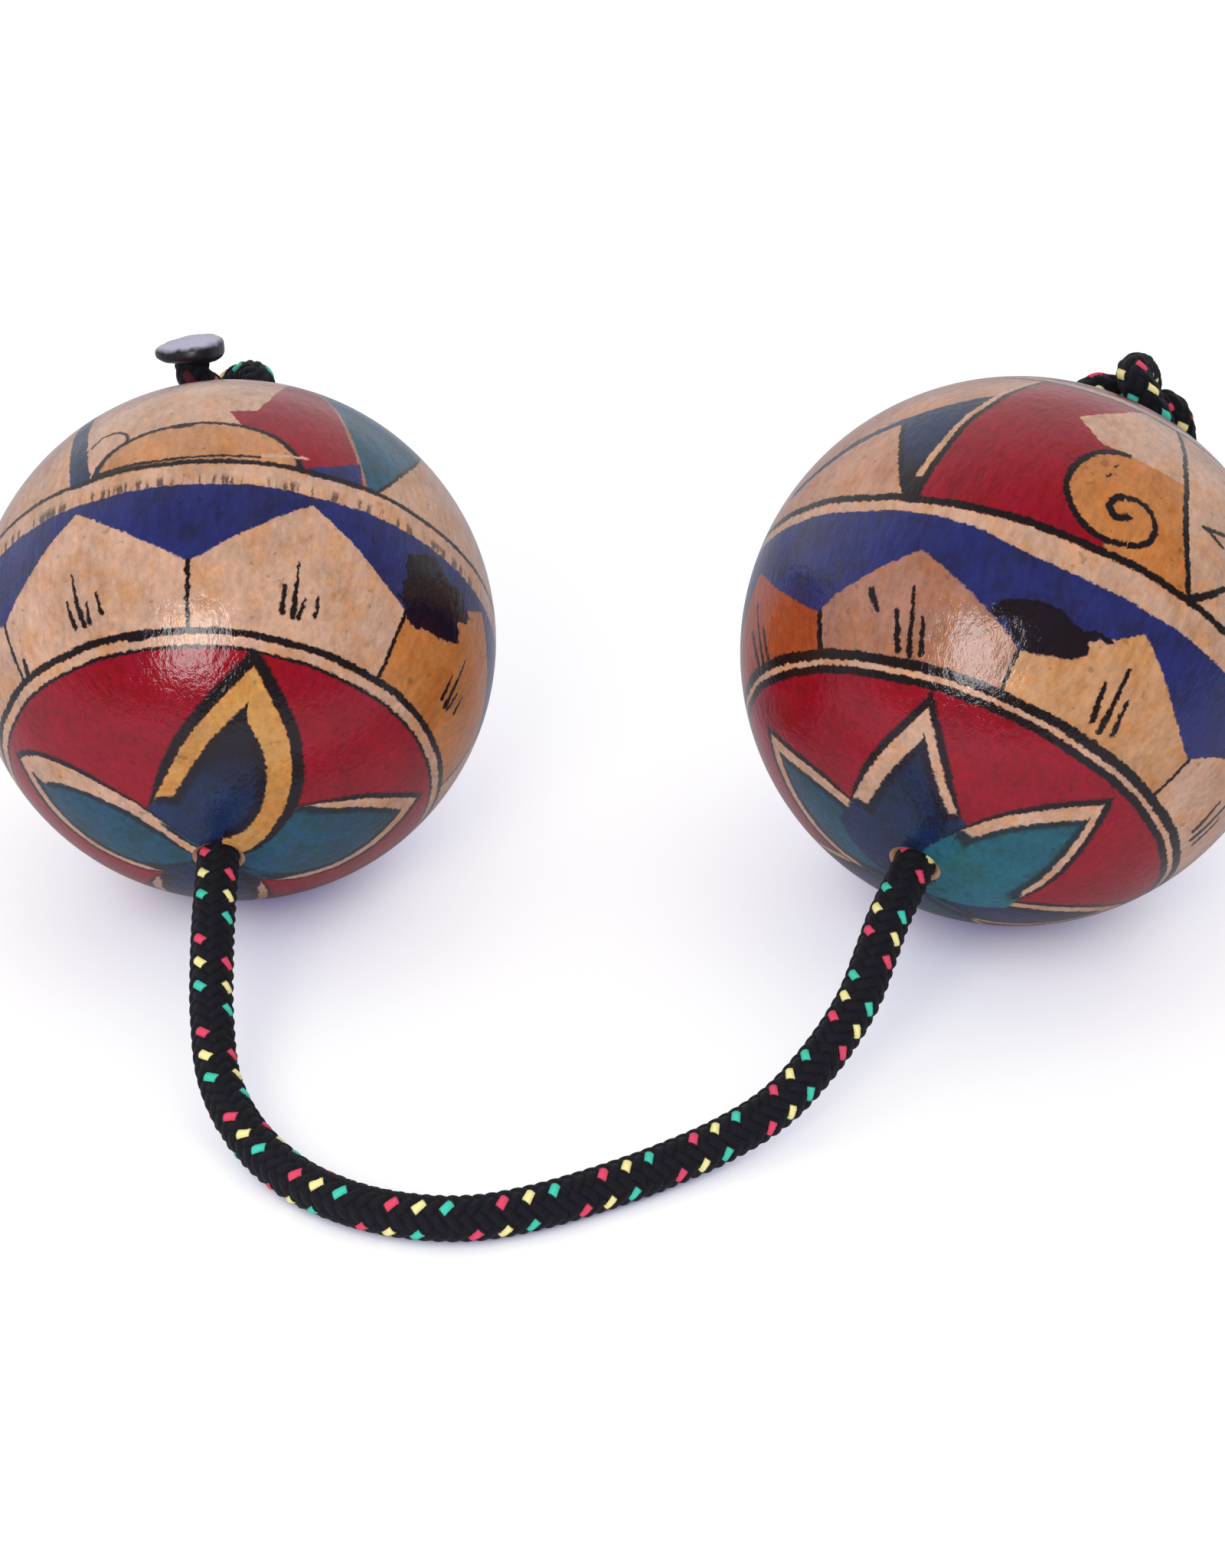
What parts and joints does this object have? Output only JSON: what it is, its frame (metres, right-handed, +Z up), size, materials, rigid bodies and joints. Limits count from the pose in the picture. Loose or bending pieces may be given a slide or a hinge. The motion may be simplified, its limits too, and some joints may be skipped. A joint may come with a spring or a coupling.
{
  "type": "kashaka shaker pair",
  "caption": "Hand percussion shaker: hollow painted wooden balls with loose seeds inside, strung on a braided cord with stopper knots, played by swinging and striking.",
  "frame": {"origin": "on the table, at the middle of the footprint of the balls", "axes": "+X from the smaller ball to the larger one, +Y away from the free cord, +Z up from the table"},
  "size_m": [0.1505, 0.1115, 0.0624],
  "materials": {
    "left_batik_wood": "wax-resist dyed and gloss varnished",
    "right_batik_wood": "wax-resist dyed and gloss varnished",
    "braided_cord": "round braid, black with red, yellow and green tracer yarns",
    "melted_nylon": "heat-sealed cord end",
    "seed": "dry hard seed"
  },
  "bodies": {
    "left_cord": {"left_cord_run": "braided_cord"},
    "right_cord": {"right_cord_run": "braided_cord"},
    "left_stopper": {"left_cord_core": "braided_cord", "left_knot": "braided_cord", "left_sealed_end": "melted_nylon"},
    "right_stopper": {"right_cord_core": "braided_cord", "right_knot": "braided_cord", "right_sealed_end": "melted_nylon"},
    "left_ball": {"left_front_shell": "left_batik_wood", "left_rear_shell": "left_batik_wood"},
    "right_ball": {"right_front_shell": "right_batik_wood", "right_rear_shell": "right_batik_wood"},
    "left_seeds": {"left_seed_01": "seed", "left_seed_02": "seed", "left_seed_03": "seed", "left_seed_04": "seed", "left_seed_05": "seed", "left_seed_06": "seed", "left_seed_07": "seed", "left_seed_08": "seed", "left_seed_09": "seed", "left_seed_10": "seed", "left_seed_11": "seed", "left_seed_12": "seed", "left_seed_13": "seed", "left_seed_14": "seed", "left_seed_15": "seed", "left_seed_16": "seed", "left_seed_17": "seed", "left_seed_18": "seed"},
    "right_seeds": {"right_seed_01": "seed", "right_seed_02": "seed", "right_seed_03": "seed", "right_seed_04": "seed", "right_seed_05": "seed", "right_seed_06": "seed", "right_seed_07": "seed", "right_seed_08": "seed", "right_seed_09": "seed", "right_seed_10": "seed", "right_seed_11": "seed", "right_seed_12": "seed", "right_seed_13": "seed", "right_seed_14": "seed", "right_seed_15": "seed", "right_seed_16": "seed", "right_seed_17": "seed", "right_seed_18": "seed"}
  },
  "joints": [
    {"name": "cord_fold", "type": "hinge", "parent": "left_cord", "child": "right_cord", "pos_m": [-0.01356, -0.0668, 0.0023], "axis": [0, 0, -1], "range_deg": [-14, 60]},
    {"name": "left_swing", "type": "hinge", "parent": "left_cord", "child": "left_stopper", "pos_m": [-0.04528, -0.02676, 0.01687], "axis": [0, 0, 1], "range_deg": [-10, 70]},
    {"name": "right_swing", "type": "hinge", "parent": "right_cord", "child": "right_stopper", "pos_m": [0.03009, -0.02959, 0.01804], "axis": [0, 0, -1], "range_deg": [-10, 70]},
    {"name": "left_spin", "type": "hinge", "parent": "left_stopper", "child": "left_ball", "pos_m": [-0.04528, 0.00302, 0.03], "axis": [0, -0.915, -0.4035], "continuous": true},
    {"name": "right_spin", "type": "hinge", "parent": "right_stopper", "child": "right_ball", "pos_m": [0.04403, -0.00178, 0.03125], "axis": [-0.4122, -0.8231, -0.3907], "continuous": true},
    {"name": "left_whirl", "type": "hinge", "parent": "left_ball", "child": "left_seeds", "pos_m": [-0.04528, 0.00302, 0.03], "axis": [0, -0.915, -0.4035], "continuous": true},
    {"name": "right_whirl", "type": "hinge", "parent": "right_ball", "child": "right_seeds", "pos_m": [0.04403, -0.00178, 0.03125], "axis": [-0.4122, -0.8231, -0.3907], "continuous": true}
  ]
}
